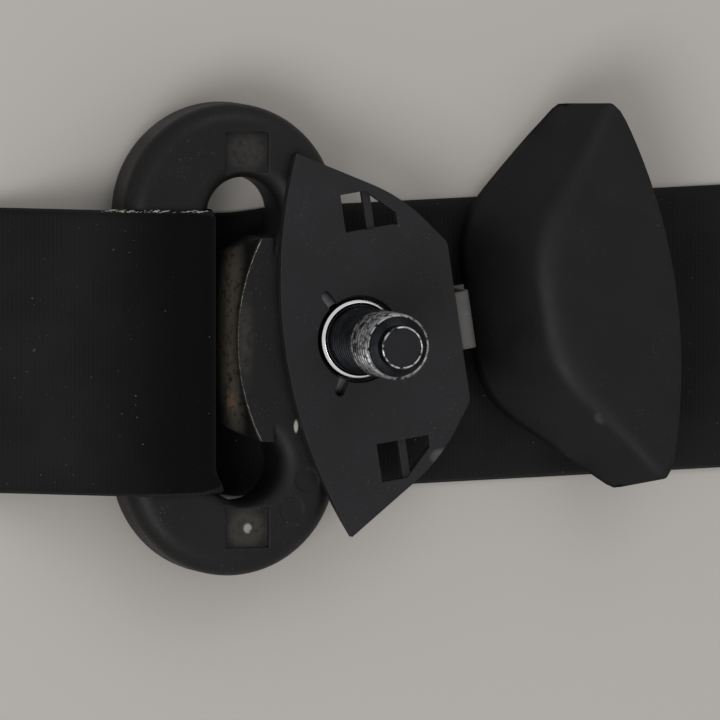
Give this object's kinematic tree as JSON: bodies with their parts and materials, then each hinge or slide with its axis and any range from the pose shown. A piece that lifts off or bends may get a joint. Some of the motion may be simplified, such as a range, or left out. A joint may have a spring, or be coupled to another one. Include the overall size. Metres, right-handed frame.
{
  "type": "seat belt pillar loop",
  "caption": "Seat belt pillar loop with webbing threaded through its slot, shoulder bolt, base plate and a hinged cover swung open.",
  "frame": {"origin": "on the bolt's axis at the end face of its shoulder, which seats on the pillar", "axes": "+Z along the bolt the way its thread points, -X from the bolt to the webbing slot, Y along the slot"},
  "size_m": [0.185, 0.0778, 0.0401],
  "materials": {
    "core_steel": "stamped steel",
    "ring_plastic": "moulded black plastic, scuffed and dusty",
    "bush_plastic": "natural moulded plastic",
    "bolt_steel": "dark plated steel with worn bright edges",
    "washer_steel": "plated steel",
    "cover_plastic": "moulded black plastic",
    "strap_plastic": "black plastic whitened by bending",
    "webbing": "black ribbed woven strap"
  },
  "bodies": {
    "root": {"ring_core": "core_steel", "ring_overmould": "ring_plastic", "pivot_bush": "bush_plastic", "webbing_rear_run": "webbing", "webbing_front_run": "webbing"},
    "bolt": {"anchor_bolt": "bolt_steel", "front_washer": "washer_steel", "spring_washer": "washer_steel"},
    "plate": {"base_plate": "cover_plastic", "hinge_strap": "strap_plastic"},
    "cover": {"cover_cap": "cover_plastic"}
  },
  "joints": [
    {"name": "bolt_turn", "type": "hinge", "parent": "root", "child": "bolt", "pos_m": [0, 0, 0], "axis": [0, 0, 1], "continuous": true},
    {"name": "plate_swivel", "type": "hinge", "parent": "root", "child": "plate", "pos_m": [0, 0, 0], "axis": [0, 0, 1], "range_deg": [-17.2, 0]},
    {"name": "cover_hinge", "type": "hinge", "parent": "plate", "child": "cover", "pos_m": [0.01958, 0.00296, -0.00755], "axis": [-0.1495, 0.9888, 0], "range_deg": [0, 180], "deforming": ["hinge_strap", "webbing_front_run"]}
  ]
}
